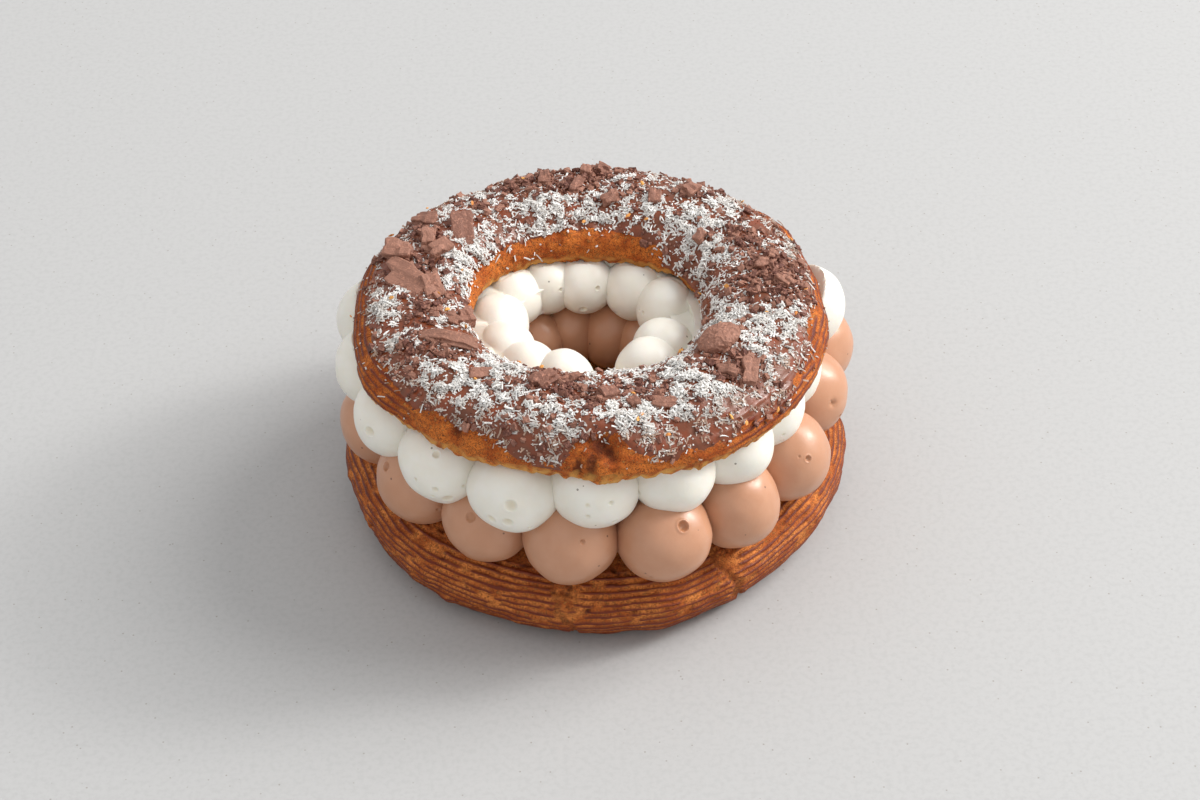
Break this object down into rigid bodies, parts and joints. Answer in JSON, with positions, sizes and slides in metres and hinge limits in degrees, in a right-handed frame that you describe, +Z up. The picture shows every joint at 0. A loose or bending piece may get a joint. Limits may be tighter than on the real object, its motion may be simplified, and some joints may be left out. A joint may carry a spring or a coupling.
{
  "type": "paris brest pastry",
  "caption": "Ring-shaped choux pastry, split and filled with a ring of chocolate cream under a ring of vanilla cream, its lid glazed and strewn with coconut and chocolate.",
  "frame": {"origin": "middle of the pastry's outline seen from above, on the plane that the base's foot rests on", "axes": "+Z up through the hole, -Y towards the side shown nearest in the picture, +X to the right seen from there"},
  "size_m": [0.097, 0.0954, 0.052],
  "materials": {
    "baked_choux": "baked choux crust, browned and finely ridged, matt with a faint sheen on the smooth ridges",
    "chocolate_cream": "smooth milk chocolate cream, satin",
    "vanilla_cream": "smooth vanilla cream with tiny dark specks, satin",
    "lid_choux": "baked choux crust, orange-brown, paler and torn along its cut edge",
    "glaze": "thin milk chocolate glaze, uneven and glossy where it is thick",
    "coconut": "shreds of dried coconut, white and matt",
    "chocolate": "broken milk chocolate, dull and rough where it broke"
  },
  "bodies": {
    "root": {"choux_base": "baked_choux", "chocolate_cream": "chocolate_cream", "vanilla_cream": "vanilla_cream", "choux_lid": "lid_choux"}
  },
  "joints": []
}
